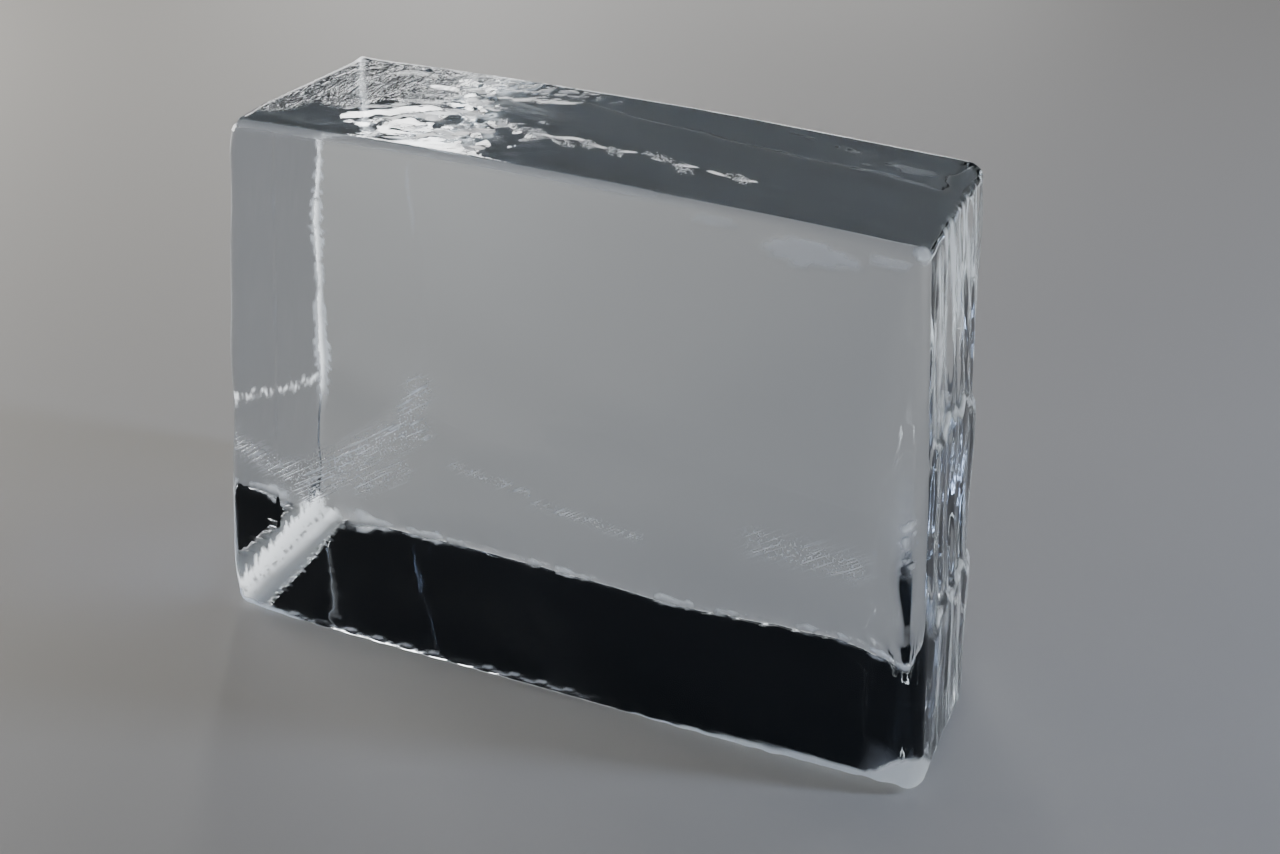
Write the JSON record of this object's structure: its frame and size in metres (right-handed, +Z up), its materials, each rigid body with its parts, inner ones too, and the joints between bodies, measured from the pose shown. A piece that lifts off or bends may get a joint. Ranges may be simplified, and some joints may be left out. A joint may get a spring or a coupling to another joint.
{
  "type": "ice block",
  "caption": "Clear block of ice standing on its long narrow side, with melted edges, a fluted end and a flat base to rest on.",
  "frame": {"origin": "middle of the box of the block, at its base", "axes": "+X along the length of the block, +Y through its thickness towards the back, +Z up"},
  "size_m": [0.306, 0.1222, 0.2331],
  "materials": {
    "clear_ice": "clear and wet, with fine scratches"
  },
  "bodies": {
    "root": {"ice_block": "clear_ice"}
  },
  "joints": []
}
